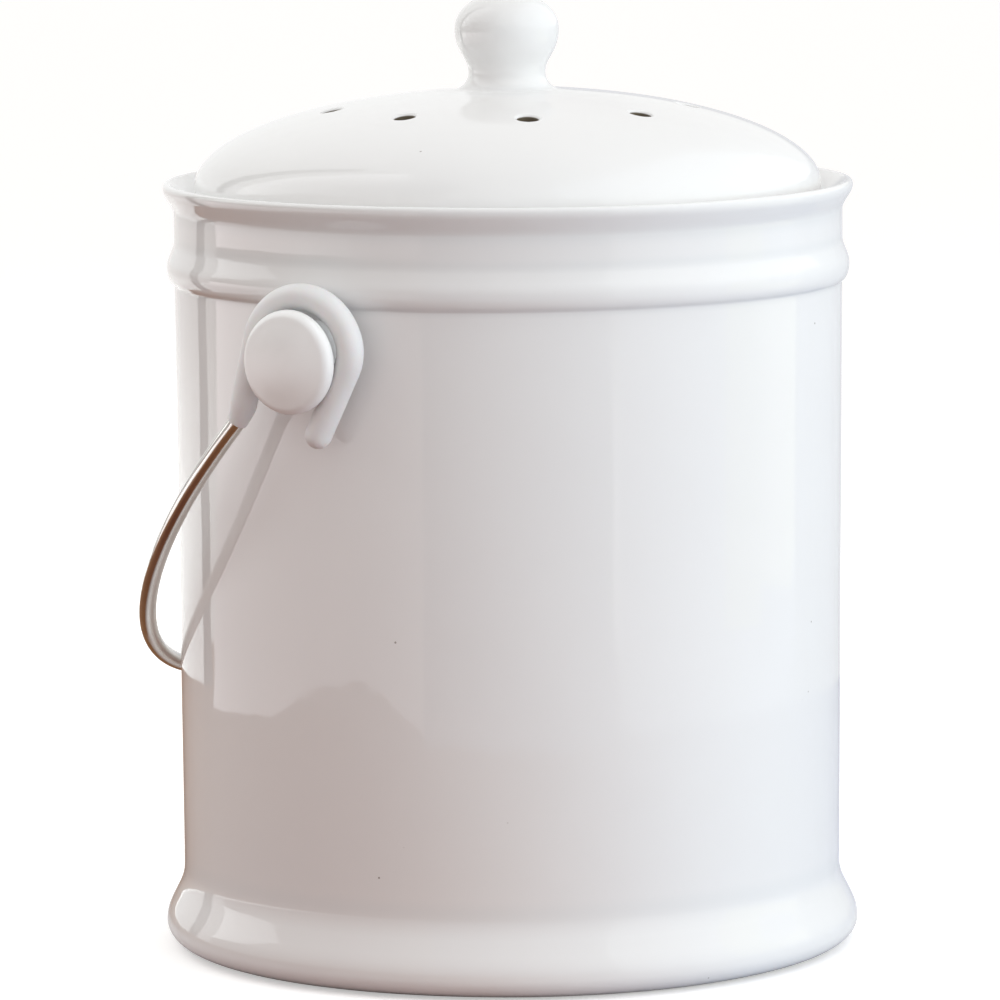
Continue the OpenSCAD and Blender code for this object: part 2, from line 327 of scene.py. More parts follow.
def handlingGroup():
    # faint wiped smears that only show in the gloss
    tree, into, out = groupTree("wipedSmears", "ShaderNodeTree", [
        ("Where", "Vector"), ("Size", "Float", 40.0), ("Roughness", "Float", 0.1), ("Duller", "Float", 0.06)],
        [("Roughness", "Float")])
    scale = maths(tree, "DIVIDE", 1000.0, into["Size"])
    longer = node(tree, "ShaderNodeVectorMath", {0: into["Where"], 1: (1.0, 1.0, 0.35)}, operation="MULTIPLY")
    smear = ramp(tree, noiseAt(tree, longer.outputs[0], scale, 5.0, 0.6), 0.48, 0.72)
    duller = maths(tree, "MULTIPLY", smear, into["Duller"])
    tree.links.new(maths(tree, "ADD", into["Roughness"], duller), out["Roughness"])
    return tree


def speckGroup():
    # sparse iron specks: small balls scattered through space, seen where the surface cuts one
    tree, into, out = groupTree("ironSpecks", "ShaderNodeTree", [
        ("Where", "Vector"), ("Spacing", "Float", 14.0), ("Radius", "Float", 0.3)], [("Mask", "Float")])
    scale = maths(tree, "DIVIDE", 1000.0, into["Spacing"])
    cells = node(tree, "ShaderNodeTexVoronoi", {"Vector": into["Where"], "Scale": scale})
    away = maths(tree, "MULTIPLY", cells.outputs["Distance"], into["Spacing"])
    core = maths(tree, "MULTIPLY", into["Radius"], 0.6)
    tree.links.new(ramp(tree, away, core, into["Radius"], 1.0, 0.0), out["Mask"])
    return tree


tintDrift, fineGrain, wipedSmears, ironSpecks = cloudGroup(), grainGroup(), handlingGroup(), speckGroup()
print("shared effects built")


def placed(tree, group, values):
    return node(tree, "ShaderNodeGroup", values, node_tree=group).outputs


def newPaint(name):
    made = bpy.data.materials.new(name)
    made.use_nodes = True
    return made, made.node_tree


def newMaterial(name, **plain):
    made, tree = newPaint(name)
    shader = tree.nodes["Principled BSDF"]
    for key, value in plain.items():
        shader.inputs[key.replace("_", " ")].default_value = value
    where = node(tree, "ShaderNodeTexCoord").outputs["Object"]
    return made, tree, shader, where


def bump(tree, shader, height, depth, after=None):
    made = node(tree, "ShaderNodeBump", {"Height": height, "Distance": depth * mm})
    if after is not None:
        tree.links.new(after, made.inputs["Normal"])
    tree.links.new(made.outputs[0], shader.inputs["Normal"])
    return made.outputs[0]


def tinted(tree, where, look):
    return placed(tree, tintDrift, {
        "Where": where, "Colour": (*look["colour"], 1), "Drift Colour": (*look["drifted"], 1),
        "Size": look["driftSize"], "Amount": look["amount"]})["Colour"]


def grained(tree, where, look):
    return placed(tree, fineGrain, {
        "Where": where, "Size": look["grain"], "Roughness": look["rough"], "Spread": look["spread"]})


def grainyMaterial(name, look, **plain):
    # one tint that drifts, under a fine grain
    made, tree, shader, where = newMaterial(name, **plain)
    grain = grained(tree, where, look)
    tree.links.new(tinted(tree, where, look), shader.inputs["Base Color"])
    tree.links.new(grain["Roughness"], shader.inputs["Roughness"])
    bump(tree, shader, grain["Height"], look["depth"])
    return made


glazeLook = {
    "colour": (0.845, 0.842, 0.838), "drifted": (0.825, 0.822, 0.82), "driftSize": 70, "amount": 0.6,
    # two of these colours are painted shade: a darker, greyer glaze for the coves and creases, and a
    # near-black one for the vent bores
    "coveShadeColour": (0.80, 0.805, 0.805, 1), "bisque": (0.74, 0.70, 0.64, 1), "boreShade": (0.11, 0.085, 0.05, 1),
    "rough": 0.03, "duller": 0.035, "ior": 1.55, "grit": 0.25, "ripple": 0.06,
    "speck": (0.23, 0.19, 0.16, 1), "speckSpacing": 14, "speckSize": 0.34,
}


def glazeMaterial(name, shadedCoves, dryBelow=None, shadedBores=False):
    # these are heights in the coves and creases, each with its reach, near which the glaze is painted darker
    # and greyer as painted shade
    look = glazeLook
    made, tree, shader, where = newMaterial(name, IOR=look["ior"])
    height = node(tree, "ShaderNodeSeparateXYZ", {0: where}).outputs[2]
    coveShade = 0.0
    for level, reach in shadedCoves:
        near = maths(tree, "ABSOLUTE", maths(tree, "SUBTRACT", height, level * mm))
        coveShade = maths(tree, "MAXIMUM", coveShade, ramp(tree, near, 0.0, reach * mm, 1.0, 0.0))
    colour = tinted(tree, where, look)
    # painted shade: the glaze darkens and greys near each cove and crease height
    colour = mixColour(tree, maths(tree, "MULTIPLY", coveShade, 0.8), colour, look["coveShadeColour"])
    smears = placed(tree, wipedSmears, {"Where": where, "Roughness": look["rough"], "Duller": look["duller"]})
    rough = smears["Roughness"]
    first = None
    if dryBelow is not None:
        dry = ramp(tree, height, (dryBelow - 0.35) * mm, dryBelow * mm, 1.0, 0.0)
        colour = mixColour(tree, dry, colour, look["bisque"])
        rough = maths(tree, "ADD", rough, maths(tree, "MULTIPLY", dry, 0.6))
        grit = placed(tree, fineGrain, {"Where": where, "Size": 0.35})["Height"]
        first = bump(tree, shader, maths(tree, "MULTIPLY", grit, dry), look["grit"])
    specks = placed(tree, ironSpecks, {
        "Where": where, "Spacing": look["speckSpacing"], "Radius": look["speckSize"]})
    colour = mixColour(tree, maths(tree, "MULTIPLY", specks["Mask"], 0.75), colour, look["speck"])
    if shadedBores:      # the bores of the vents are painted near black, as painted shade inside the holes, and made rougher as bare clay
        boreShadeMask = node(tree, "ShaderNodeAttribute", attribute_name="boreShade").outputs["Fac"]
        colour = mixColour(tree, boreShadeMask, colour, look["boreShade"])
        rough = maths(tree, "ADD", rough, maths(tree, "MULTIPLY", boreShadeMask, 0.6))
    ripple = noiseAt(tree, where, 55.0, 2.0, 0.45)
    bump(tree, shader, ripple, look["ripple"], after=first)
    tree.links.new(colour, shader.inputs["Base Color"])
    tree.links.new(rough, shader.inputs["Roughness"])
    return made


crock = {
    "wallRadius": 87.6, "height": 202.2, "wall": 7.0, "floor": 8.0, "taper": 0.9,
    "footOut": 4.9, "footHeight": 22.0, "toeInset": 8.4, "toeHeight": 5.8,
    "footRing": 7.0, "recess": 2.5, "insideCorner": 9.0,
    "lipOut": 2.8, "flare": 6.4, "lipRound": 1.3, "lipCove": 6.7, "ledge": 3.6,
    "beadOut": 1.9, "beadDrop": 22.2, "beadLow": 4.3, "beadHigh": 7.0,
    "glazeSoften": 0.42,      # how far the glaze rounds each corner
    "unglazedBelow": 0.9,     # the dry ring it stands on
    "waviness": 0.35, "waveSize": 60,      # how far, and over what length, the thrown wall dips
    "stepsRound": 288,
}
lowR = crock["wallRadius"] - crock["taper"] / 2
highR = crock["wallRadius"] + crock["taper"] / 2
footR = lowR + crock["footOut"]
innerR = lowR - crock["wall"] + 0.35
lipZ = crock["height"] - crock["lipRound"]
lipR = highR + crock["lipOut"]
mouthR = lipR - crock["flare"]
ledgeZ = lipZ - crock["ledge"]
beadZ = crock["height"] - crock["beadDrop"]


def crockOutline():
    c = crock
    toeR = footR - c["toeInset"]
    outline = [(0, c["recess"]), (toeR - c["footRing"], c["recess"]), (toeR - c["footRing"] + 1, 0)]
    outline += arcPoints((toeR, c["toeHeight"]), c["toeInset"], c["toeHeight"], -90, 0)
    outline += sCurve((footR, c["toeHeight"] + 0.4), (lowR, c["footHeight"]), hollow=1.35)
    outline += arcPoints((highR, beadZ), c["beadOut"], c["beadLow"], -90, 0)
    outline += sCurve((highR + c["beadOut"], beadZ + 0.2), (highR, beadZ + c["beadHigh"]))
    outline += sCurve((highR, lipZ - c["lipCove"]), (lipR, lipZ - 0.2))
    outline += circleArc((lipR - c["lipRound"], lipZ), c["lipRound"], 0, 130)
    outline += [(mouthR, ledgeZ + 0.6), (mouthR, ledgeZ), (innerR + 0.8, ledgeZ), (innerR, ledgeZ - 0.8)]
    corner = c["insideCorner"]
    outline += circleArc((innerR - corner, c["floor"] + corner), corner, 0, -90)
    outline += [(0, c["floor"])]
    return outline


# painted shade in the cove under the lip, above and below the bead and in the crease over the foot
crockGlaze = glazeMaterial("crockGlaze", [(lipZ - crock["lipCove"], 3.0), (beadZ - crock["beadLow"], 2.2),
                                          (beadZ + crock["beadHigh"], 2.5), (crock["footHeight"], 4.0)],
                           dryBelow=crock["unglazedBelow"])
crockLine = thin(soften(crockOutline(), crock["glazeSoften"]), maxTurn=5.0)
crockLine[0, 0] = crockLine[-1, 0] = 0.0
crockBody = turnedPiece(np.maximum(crockLine, 0), "crockBody", crock["stepsRound"], crockGlaze,
                        crock["waviness"], crock["waveSize"])
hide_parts("crock")
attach(crockBody, "crock_body")


lid = {
    "gap": 1.9, "domeHeight": 25.4, "domeWall": 5.5,
    "skirtDrop": 12.0, "skirtGap": 1.2, "skirtWall": 4.3, "innerRise": 1.8,
    "vents": 9, "ventRadius": 2.7, "ventRing": 47.5, "firstVent": 180.0,
    "ventEdge": 1.0,          # rounding of the glaze into each vent
    "columns": 28, "ventColumns": 14, "ventRows": 12, "ventReach": 8.0,
    "glazeSoften": 0.5, "waviness": 0.3, "waveSize": 50,
}
knob = {
    "radius": 13.8, "neck": 10.2, "top": 10.0, "footFillet": 4.3,
    "waistBend": 34.8, "waistRadius": 7.0,
}
lidR = mouthR - lid["gap"]
skirtR = innerR - lid["skirtGap"]
skirtZ = ledgeZ - lid["skirtDrop"]
domeInR = skirtR - lid["skirtWall"]
domeInZ = ledgeZ + lid["innerRise"]
domeInRise = lipZ + lid["domeHeight"] - lid["domeWall"] - domeInZ


def domeTop(r):
    return lipZ + lid["domeHeight"] * math.sqrt(max(0.0, 1 - (r / lidR) ** 2))


def knobAndDomeOutline():
    # from the top of the knob, down its neck and out over the dome to the skirt
    k = knob
    neckFootR = k["neck"] + k["footFillet"]
    swell = (k["radius"] - k["neck"]) / (1 - math.cos(math.radians(k["waistBend"]))) - k["waistRadius"]
    neckZ = domeTop(neckFootR) + k["footFillet"]
    wideZ = neckZ + (k["waistRadius"] + swell) * math.sin(math.radians(k["waistBend"]))
    outline = arcPoints((0, wideZ), k["radius"], k["top"], 90, 0, 48)
    outline += circleArc((k["radius"] - swell, wideZ), swell, 0, -k["waistBend"])[1:]
    waistR = k["waistRadius"]
    outline += circleArc((k["neck"] + waistR, neckZ), waistR, 180 - k["waistBend"], 180)[1:]
    outline += circleArc((neckFootR, neckZ), k["footFillet"], 180, 262)[1:]
    start = neckFootR + 0.2
    lidTurn = math.degrees(math.acos(start / lidR))
    outline += arcPoints((0, lipZ), lidR, lid["domeHeight"], lidTurn, 0, 160)
    outline += circleArc((lidR - 1, ledgeZ + 1), 1, 0, -90)
    outline += [(skirtR, ledgeZ)]
    outline += circleArc((skirtR - 1, skirtZ + 1), 1, 0, -90)
    outline += circleArc((domeInR + 1, skirtZ + 1), 1, -90, -180)
    outline += arcPoints((0, domeInZ), domeInR, domeInRise, 0, 90, 160)
    return outline


def lidWedge():
    # one slice of the lid and knob, with a single vent in it
    line = soften(knobAndDomeOutline(), lid["glazeSoften"])
    line[0, 0] = line[-1, 0] = 0.0
    line[:, 0] = np.maximum(line[:, 0], 0)
    low, high = lid["ventRing"] - lid["ventReach"], lid["ventRing"] + lid["ventReach"]
    crest = int(np.argmax(line[:, 0]))

    def crossing(part, radius):
        order = np.argsort(part[:, 0])
        return float(np.interp(radius, part[order, 0], part[order, 1]))

    foot = np.argmin(np.abs(line[:crest, 0] - 20) + 1000 * (line[:crest, 1] > domeTop(18)))
    top, under = line[foot:crest], line[crest:]
    under = under[under[:, 1] > domeInZ + 1.0]
    topAt = lambda r: crossing(top, r)
    underAt = lambda r: crossing(under, r)

    def strip(points):
        return [tuple(p) for p in thin(points, maxTurn=5.0, maxStep=3.2)]

    above = line[:foot + int(np.argmax(top[:, 0] >= low))]
    edgeFrom = foot + int(np.argmax(top[:, 0] >= high))
    underStart = crest + int(np.argmax((line[crest:, 0] <= high) & (line[crest:, 1] > domeInZ + 1)))
    underEnd = crest + int(np.argmax((line[crest:, 0] <= low) & (line[crest:, 1] > domeInZ + 1)))
    middle = line[edgeFrom:underStart]
    below = line[underEnd:]
    runs = [strip(np.vstack([above, [[low, topAt(low)]]])),
            strip(np.vstack([[[high, topAt(high)]], middle, [[high, underAt(high)]]])),
            strip(np.vstack([[[low, underAt(low)]], below]))]

    columns, span = lid["columns"], 2 * math.pi / lid["vents"]
    turns = [span * (i / columns - 0.5) for i in range(columns + 1)]
    points, faces, boreShadeValues = [], [], []

    def add(x, y, z, boreShade=0.0):
        points.append((x * mm, y * mm, z * mm))
        boreShadeValues.append(boreShade)
        return len(points) - 1

    def sheetOf(rows, ringTurns):
        ids = [[add(r * math.cos(t), r * math.sin(t), z) for t in ringTurns] for r, z in rows]
        for upper, lower in zip(ids, ids[1:]):
            for k in range(len(ringTurns) - 1):
                faces.append((upper[k], lower[k], lower[k + 1], upper[k + 1]))

    for run in runs:
        sheetOf(run, turns)
    # beside the vent, the dome goes on in plain columns
    rowsR = [low + (high - low) * i / lid["ventRows"] for i in range(lid["ventRows"] + 1)]
    aside = (columns - lid["ventColumns"]) // 2
    for side in (turns[:aside + 1], turns[-aside - 1:]):
        sheetOf([(r, topAt(r)) for r in rowsR], side)
        sheetOf([(r, underAt(r)) for r in reversed(rowsR)], side)
    # round the vent, rings open out from the hole to the edge of its patch
    inner = turns[aside:columns - aside + 1]
    rim = [(rowsR[0], t) for t in inner] + [(r, inner[-1]) for r in rowsR[1:]]
    rim += [(rowsR[-1], t) for t in reversed(inner[:-1])] + [(r, inner[0]) for r in reversed(rowsR[1:-1])]
    centre, hole, edge = lid["ventRing"], lid["ventRadius"], lid["ventEdge"]
    outer = [(r * math.cos(t), r * math.sin(t)) for r, t in rim]
    aim = [math.atan2(y, x - centre) for x, y in outer]
    layers = 9

    def ringAt(share):
        # 0 is the start of the rounded edge, 1 the edge of the patch
        eased = share ** 1.25
        flat = []
        for (x, y), a in zip(outer, aim):
            hx, hy = centre + (hole + edge) * math.cos(a), (hole + edge) * math.sin(a)
            flat.append((hx + (x - hx) * eased, hy + (y - hy) * eased))
        return flat

    def holeRing(radius):
        return [(centre + radius * math.cos(a), radius * math.sin(a)) for a in aim]

    rings = []
    for k in range(layers, -1, -1):
        rings.append([(x, y, topAt(math.hypot(x, y))) for x, y in ringAt(k / layers)])
    quarter = [math.radians(90 * i / 6) for i in range(1, 7)]
    for q in quarter:
        rings.append([(x, y, topAt(math.hypot(x, y)) - edge * (1 - math.cos(q)))
                      for x, y in holeRing(hole + edge * (1 - math.sin(q)))])
    boreFrom, upperEnd = len(rings) - 2, rings[-1]
    lowerEnd = [(x, y, underAt(math.hypot(x, y)) + edge) for x, y in holeRing(hole)]
    for k in (1, 2, 3):
        rings.append([(a[0], a[1], a[2] + (b[2] - a[2]) * k / 4) for a, b in zip(upperEnd, lowerEnd)])
    rings.append(lowerEnd)
    boreTo = len(rings)
    for q in reversed([0.0] + quarter[:-1]):
        rings.append([(x, y, underAt(math.hypot(x, y)) + edge * (1 - math.cos(q)))
                      for x, y in holeRing(hole + edge * (1 - math.sin(q)))])
    for k in range(1, layers + 1):
        rings.append([(x, y, underAt(math.hypot(x, y))) for x, y in ringAt(k / layers)])
    ids = [[add(*p, boreShade=float(boreFrom <= i < boreTo)) for p in ring] for i, ring in enumerate(rings)]
    count = len(outer)
    for upper, lower in zip(ids, ids[1:]):
        for k in range(count):
            n = (k + 1) % count
            faces.append((upper[k], lower[k], lower[n], upper[n]))
    mesh = meshFrom(points, faces, "lidWedge")
    # the mask of the bore, where the glaze is painted near black as painted shade
    addValues(mesh, "boreShade", boreShadeValues)
    return mesh


# painted shade in the crease round the knob's foot
# the vent bores are painted near black as painted shade
lidGlaze = glazeMaterial("lidGlaze", [(domeTop(14.5) + 0.6, 1.6)], shadedBores=True)
lidBody = outwards(grow(lidWedge(), wedgeRound, {
    "Wedges": lid["vents"], "First Turn": math.radians(lid["firstVent"]),
    "Waviness": lid["waviness"] * mm, "Wave Size": lid["waveSize"] * mm, "Finish": lidGlaze}, "lidBody"))
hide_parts("lid", "lid_knob")
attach(lidBody, "lid_body")


stud = {
    "drop": 38.7, "neck": 9.0, "cap": 13.3, "capThick": 5.8, "capDrop": 0.6, "rootIn": 2.6,
    "backRound": 0.7, "faceRound": 2.6, "crown": 1.8, "glazeSoften": 0.22,
    "waviness": 0.12, "waveSize": 12, "stepsRound": 128,
    "look": {"colour": (0.93, 0.93, 0.925), "drifted": (0.865, 0.864, 0.857), "driftSize": 12,
             "amount": 0.5, "grain": 0.5, "rough": 0.34, "spread": 0.16, "depth": 0.02},
}
bail = {
    "wire": 4.5, "legDown": 28.4, "archDown": 103.6, "archSet": 3.5,
    "hookRadius": 14.7, "hookLift": 1.0, "hookStart": -27.2, "hookTurn": 120.0, "hookEnd": 166.0,
    "tightRadius": 10.0, "tail": 19.1, "wallGap": 0.3,
    "sleeve": 7.0, "sleeveEnd": 5.5, "sidesRound": 40, "sleeveSides": 48,
    "wireLook": {"colour": (0.74, 0.72, 0.69), "drifted": (0.67, 0.64, 0.60), "driftSize": 18,
                 "amount": 0.6, "grain": 0.9, "rough": 0.09, "spread": 0.14, "depth": 0.02, "duller": 0.08},
    "sleeveLook": {"colour": (0.82, 0.82, 0.825), "drifted": (0.78, 0.775, 0.77), "driftSize": 14,
                   "amount": 0.5, "grain": 0.4, "rough": 0.5, "spread": 0.2, "depth": 0.04},
}
studZ = crock["height"] - stud["drop"]
wireR, sleeveR = bail["wire"] / 2, bail["sleeve"] / 2
legX = max(lipR + 1.6 + wireR, highR + crock["beadOut"] + 1.3 + sleeveR)      # clear of the lip and the bead
capX = legX + sleeveR + 0.4


def studOutline():
    s = stud
    back = capX - (highR - s["rootIn"])
    front = back + s["capThick"]
    outline = [(0, 0), (s["neck"], 0), (s["neck"], back)]
    outline += circleArc((s["cap"] - s["backRound"], back + s["backRound"]), s["backRound"], -90, 0)
    edge = s["cap"] - s["faceRound"]
    outline += circleArc((edge, front - s["crown"] - s["faceRound"]), s["faceRound"], 0, 74)
    outline += [(edge * (1 - i / 16), front - s["crown"] * (1 - i / 16) ** 2) for i in range(1, 17)]
    return outline


satinButton = grainyMaterial("satinButton", stud["look"], IOR=1.75)
for side, label in ((-1, "left"), (1, "right")):
    line = thin(soften(studOutline(), stud["glazeSoften"], step=0.05), maxTurn=5.0, maxStep=2.0)
    line[0, 0] = line[-1, 0] = 0.0
    button = turnedPiece(np.maximum(line, 0), "studButton_" + label, stud["stepsRound"], satinButton,
                         stud["waviness"], stud["waveSize"])
    for v in button.data.vertices:      # the cap is luted on a little low
        if v.co.z > (capX - highR + stud["rootIn"] - 0.5) * mm:
            v.co.x += side * stud["capDrop"] * mm
    place = Matrix.Translation((side * (highR - stud["rootIn"]) * mm, 0, studZ * mm))
    button.data.transform(place @ Matrix.Rotation(side * math.pi / 2, 4, "Y"))
    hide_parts("stud_" + label)
    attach(button, "crock_body")


# the bail is drawn flat, as hook, leg and arch, then leaned on the wall
def polar(radius, turn):
    return np.array([radius * math.cos(math.radians(turn)), radius * math.sin(math.radians(turn))])


def tailFrom():
    # centre of the tight bend, and where the straight tail leaves it
    b = bail
    tight = polar(b["hookRadius"] - b["tightRadius"], b["hookTurn"]) + np.array([0, b["hookLift"]])
    return tight, tight + polar(b["tightRadius"], b["hookEnd"])


def flatHook(reach):
    # tail, tight bend and hook, from the end of the tail (reach) to where the hook meets the leg
    b = bail
    tight, tailStart = tailFrom()
    tailWay = polar(1, b["hookEnd"] + 90)
    tail = [tailStart + tailWay * d for d in np.linspace(reach, 0.6, max(2, int(reach / 0.6)))]
    bend = circleArc(tight, b["tightRadius"], b["hookEnd"], b["hookTurn"], 18)
    hook = circleArc((0, b["hookLift"]), b["hookRadius"], b["hookTurn"] - 2.2, b["hookStart"], 68)
    return tail, [np.array(p) for p in bend + hook]


def flatSway():
    b = bail
    start = math.radians(b["hookStart"])
    fall = b["legDown"] + b["hookLift"]
    across = b["archSet"] * math.cos(start) - fall * math.sin(start)
    radius = (across - b["hookRadius"]) / (1 - math.cos(start))
    bend = circleArc((b["archSet"] + radius, -b["legDown"]), radius, 180 + b["hookStart"], 180, 16)
    return [np.array(p) for p in bend]


def leaned(points):
    b = bail
    low = np.array([b["legDown"] + b["archDown"], b["archSet"]])
    wallAt = lowR + 0.3 * crock["taper"]
    rest = math.asin((wallAt + wireR + b["wallGap"]) / np.linalg.norm(low)) - math.atan2(low[1], low[0])
    turn = Matrix.Translation((0, 0, studZ * mm)) @ Matrix.Rotation(rest, 4, "X")
    return [turn @ (Vector(p) * mm) for p in points]


def barAlong(path, radii, values, name):
    # a bent bar along a leaned path, as thick at each point as its radius says
    line = polyline(leaned(path), name + "Line")
    addValues(line, "thick", [r * mm for r in radii])
    return outwards(grow(line, bentBar, values, name))


def wireMaterial(look):
    # drawn wire: its fine lines run along it
    made, tree, shader, where = newMaterial("polishedWire", Metallic=1.0)
    along = node(tree, "ShaderNodeAttribute", attribute_name="along").outputs["Fac"]
    around = node(tree, "ShaderNodeAttribute", attribute_name="around").outputs["Fac"]
    turn = maths(tree, "MULTIPLY", around, 2 * math.pi)
    drawn = node(tree, "ShaderNodeCombineXYZ", {
        0: maths(tree, "MULTIPLY", maths(tree, "COSINE", turn), 0.02),
        1: maths(tree, "MULTIPLY", maths(tree, "SINE", turn), 0.02),
        2: maths(tree, "MULTIPLY", along, 0.03)}).outputs[0]
    lines = grained(tree, drawn, look)
    smears = placed(tree, wipedSmears, {"Where": where, "Size": 12.0, "Roughness": lines["Roughness"],
                                        "Duller": look["duller"]})
    tree.links.new(tinted(tree, where, look), shader.inputs["Base Color"])
    tree.links.new(smears["Roughness"], shader.inputs["Roughness"])
    bump(tree, shader, lines["Height"], look["depth"])
    return made


polishedWire = wireMaterial(bail["wireLook"])
tail, hook = flatHook(bail["tail"] - 1)
sway = flatSway()
leg = lambda side, flat: [(side * legX, p[0], p[1]) for p in flat]
swing = [math.pi * i / 150 for i in range(1, 150)]
arch = [(legX * math.cos(t), bail["archSet"], -bail["legDown"] - bail["archDown"] * math.sin(t))
        for t in swing]
wirePath = leg(1, tail + hook + sway[1:]) + arch + leg(-1, tail + hook + sway[1:])[::-1]
bailWire = barAlong(wirePath, [wireR] * len(wirePath), {
    "Sides": bail["sidesRound"], "Finish": polishedWire}, "bailWire")
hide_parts("bail_wire")
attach(bailWire, "bail_body")

softSleeve = grainyMaterial("softSleeve", bail["sleeveLook"], IOR=1.47, Subsurface_Weight=0.12,
                            Subsurface_Scale=0.002)
for side, label in ((-1, "left"), (1, "right")):
    tip = [(bail["tail"] + sleeveR * math.cos(math.radians(a)), sleeveR * math.sin(math.radians(a)))
           for a in (3, 12, 22, 34, 46, 58, 70, 82)]
    tail, hook = flatHook(bail["tail"] - 0.6)
    tipPoints = [tailFrom()[1] + polar(1, bail["hookEnd"] + 90) * d for d, _ in tip]
    swayShort = sway[1:13]
    endR = bail["sleeveEnd"] / 2
    radii = [r for _, r in tip] + [sleeveR] * (len(tail) + len(hook))
    for i in range(len(swayShort)):
        share = (i + 1) / len(swayShort)
        radii.append(sleeveR + (endR - sleeveR) * (3 * share ** 2 - 2 * share ** 3))
    # the open end closes round the wire in a short rounded lip
    radii[-1] = endR - 0.12
    sleeve = barAlong(leg(side, tipPoints + tail + hook + swayShort), radii, {
        "Sides": bail["sleeveSides"], "Finish": softSleeve}, "hookSleeve_" + label)
    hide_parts("sleeve_" + label)
    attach(sleeve, "bail_body")


filterSize = {
    "trayWall": 2.0, "trayGap": 0.3, "flange": 2.2, "pad": 9.0,
    "spokes": 8, "spokeWidth": 2.4, "ringStep": 14.0, "hub": 9.0,
    "ribs": 6, "ribRound": 1.0, "ribOut": 0.4, "edge": 0.35, "stepsRound": 160,
    "padEdge": 2.6, "padUnder": 3.2, "padOver": 2.9, "padCrown": 0.7, "padGap": 0.25, "padStep": 2.5,
    "padWaviness": 1.6, "padWaveSize": 7, "padStepsRound": 180,
    "trayLook": {"colour": (0.74, 0.74, 0.73), "drifted": (0.69, 0.69, 0.68), "driftSize": 25,
                 "amount": 0.6, "grain": 0.3, "rough": 0.52, "spread": 0.2, "depth": 0.04},
    "padLook": {"colour": (0.020, 0.020, 0.022), "drifted": (0.05, 0.05, 0.053), "driftSize": 2.2,
                "amount": 0.8, "grain": 0.7, "rough": 0.92, "spread": 0.1, "depth": 0.8},
}
trayR = domeInR - 0.7
trayZ = skirtZ - filterSize["trayGap"] - filterSize["flange"]
trayH = filterSize["pad"] + filterSize["trayWall"] + 0.5
trayPlastic = grainyMaterial("trayPlastic", filterSize["trayLook"], IOR=1.46)
charcoalFelt = grainyMaterial("charcoalFelt", filterSize["padLook"], IOR=1.4, Roughness=0.95,
                              Sheen_Weight=0.25, Sheen_Roughness=0.6)


def roundedLoop(corners, reach):
    # a closed outline with each corner rounded off over a short reach
    loop = []
    for i in range(len(corners)):
        before, here, after = (np.array(corners[k % len(corners)], float) for k in (i - 1, i, i + 1))
        start = here + (before - here) / np.linalg.norm(before - here) * reach
        end = here + (after - here) / np.linalg.norm(after - here) * reach
        loop += [tuple((1 - t) ** 2 * start + 2 * t * (1 - t) * here + t * t * end)
                 for t in (0, 0.25, 0.5, 0.75, 1)]
    return loop + loop[:1]


def prism(rings, name):
    # a closed bar through a few rings of points
    count = len(rings[0])
    points = [tuple(c * mm for c in p) for ring in rings for p in ring]
    faces = [(k + i, k + (i + 1) % count, k + count + (i + 1) % count, k + count + i)
             for k in range(0, len(points) - count, count) for i in range(count)]
    faces += [tuple(range(count))[::-1], tuple(range(len(points) - count, len(points)))]
    return meshFrom(points, faces, name)


def joined(parts, name):
    whole = bmesh.new()
    for part in parts:
        whole.from_mesh(part.data)
        bpy.data.objects.remove(part)
    mesh = bpy.data.meshes.new(name)
    whole.to_mesh(mesh)
    whole.free()
    mesh.materials.append(trayPlastic)
    print("made", name, len(mesh.polygons), "faces")
    return linked(name, mesh)


# the open tray and its charcoal pad, hidden under the lid
f = filterSize
trayIn, flangeR, low = trayR - f["trayWall"], skirtR - 1, trayZ
rim = [(trayIn, low), (flangeR, low), (flangeR, low + f["flange"]), (trayR, low + f["flange"]),
       (trayR, low + trayH), (trayIn, low + trayH)]
strips = [(r - f["spokeWidth"] / 2, r + f["spokeWidth"] / 2)
          for r in np.arange(f["hub"] + f["ringStep"], trayR - f["ringStep"] / 2, f["ringStep"])]


def flatBar(a, b, inset=0.0):
    # the section of a bar of the tray's floor, from a to b
    under, over = low + inset, low + f["trayWall"] - inset
    return roundedLoop([(a, under), (b, under), (b, over), (a, over)], f["edge"])


loops = [roundedLoop(rim, f["edge"])] + [flatBar(a, b) for a, b in strips]
loops.append([(0, low)] + flatBar(0, f["hub"])[5:15] + [(0, low + f["trayWall"])])
parts = [turnedPiece(loop, "trayRing", f["stepsRound"], trayPlastic) for loop in loops]
section = flatBar(-f["spokeWidth"] / 2, f["spokeWidth"] / 2, 0.02)[:-1]
spoke = prism([[(r, y, z) for y, z in section] for r in (f["hub"] - 2, trayR / 2, trayR - 1)], "spoke")
parts.append(outwards(grow(spoke, wedgeRound, {"Wedges": f["spokes"], "Finish": trayPlastic}, "spokes")))
ribAt, ribLow = trayR - f["ribRound"] + f["ribOut"], low + f["flange"] / 2
ribTop = low + trayH - f["flange"] / 2 - 0.5
rounds = [(1, ribLow), (1, ribTop - 0.5), (0.92, ribTop - 0.25), (0.7, ribTop - 0.07), (0.35, ribTop)]
rib = prism([[(ribAt + f["ribRound"] * share * math.cos(t), f["ribRound"] * share * math.sin(t), z)
              for t in np.linspace(0, 2 * math.pi, 20, endpoint=False)] for share, z in rounds], "rib")
parts.append(outwards(grow(rib, wedgeRound, {
    "Wedges": f["ribs"], "First Turn": math.pi / f["ribs"], "Finish": trayPlastic}, "ribs")))
filterTray = joined(parts, "filterTray")
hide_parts("filter_tray")
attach(filterTray, "tray_body")

